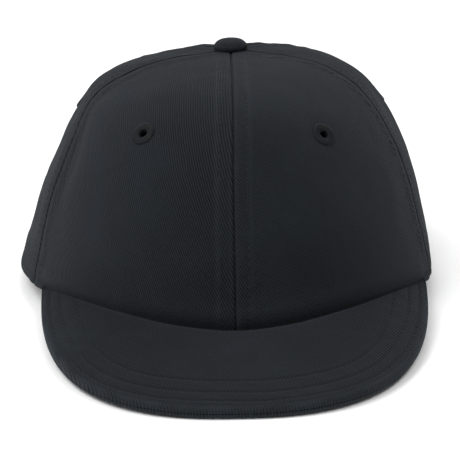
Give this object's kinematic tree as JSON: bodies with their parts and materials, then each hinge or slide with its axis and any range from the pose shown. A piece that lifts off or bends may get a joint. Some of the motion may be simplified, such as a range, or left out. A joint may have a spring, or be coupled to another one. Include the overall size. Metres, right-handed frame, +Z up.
{
  "type": "bump cap",
  "caption": "Black twill safety cap with a short stiff peak and a hook-and-loop rear closure, worn over a removable padded impact shell.",
  "frame": {"origin": "under the middle of the cap's whole length and width, on the surface that it rests on", "axes": "-Y towards the peak's tip, +X to the wearer's left, +Z up"},
  "size_m": [0.1758, 0.2679, 0.1004],
  "materials": {
    "crown_twill": "black cotton twill",
    "peak_twill": "black cotton twill",
    "eyelet_thread": "black embroidery thread, slightly glossy",
    "seam_tape": "black woven tape",
    "sweatband": "black looped terry",
    "label": "white woven satin, blank",
    "binding": "black woven binding",
    "strap_twill": "black cotton twill strap",
    "hook_tape": "black nylon hooks",
    "loop_tape": "black brushed loops",
    "shell_plastic": "black moulded ABS, fine satin",
    "foam": "dark grey fabric-faced closed-cell foam",
    "peak_board": "off-white extruded sheet",
    "rivet_metal": "plain pressed steel"
  },
  "bodies": {
    "cap": {"front_panel_left": "crown_twill", "front_panel_right": "crown_twill", "side_panel_left": "crown_twill", "side_panel_right": "crown_twill", "back_panel_left": "crown_twill", "back_panel_right": "crown_twill", "front_eyelet_left": "eyelet_thread", "front_eyelet_right": "eyelet_thread", "side_eyelet_left": "eyelet_thread", "side_eyelet_right": "eyelet_thread", "back_eyelet_left": "eyelet_thread", "back_eyelet_right": "eyelet_thread", "seam_tape_front": "seam_tape", "seam_tape_front_left": "seam_tape", "seam_tape_front_right": "seam_tape", "seam_tape_rear_left": "seam_tape", "seam_tape_rear_right": "seam_tape", "seam_tape_rear": "seam_tape", "button_cover": "crown_twill", "button_rivet": "rivet_metal", "button_washer": "rivet_metal", "sweatband": "sweatband", "size_label": "label", "arch_binding": "binding", "closure_strap_outer_root": "strap_twill", "closure_strap_inner": "strap_twill", "closure_loop_patch": "loop_tape", "peak_top_cover": "peak_twill", "peak_under_cover": "peak_twill", "peak_board": "peak_board", "retaining_dot_loop_front_left": "loop_tape", "retaining_dot_loop_front_right": "loop_tape", "retaining_dot_loop_rear_left": "loop_tape", "retaining_dot_loop_rear_right": "loop_tape"},
    "shell_insert": {"abs_shell": "shell_plastic", "pad_brow": "foam", "pad_left": "foam", "pad_right": "foam", "pad_rear": "foam", "pad_crown": "foam", "retaining_dot_hook_front_left": "hook_tape", "retaining_dot_hook_front_right": "hook_tape", "retaining_dot_hook_rear_left": "hook_tape", "retaining_dot_hook_rear_right": "hook_tape"},
    "closure_strap": {"closure_strap_outer": "strap_twill", "closure_hook_patch": "hook_tape"}
  },
  "joints": [
    {"name": "shell_insert_slide", "type": "slide", "parent": "cap", "child": "shell_insert", "axis": [0, 0, -1], "range_m": [0, 0.095]},
    {"name": "closure_strap_peel", "type": "hinge", "parent": "cap", "child": "closure_strap", "pos_m": [-0.029, 0.128, 0.01327], "axis": [0.0422, -0.1342, 0.9901], "range_deg": [0, 120]}
  ]
}
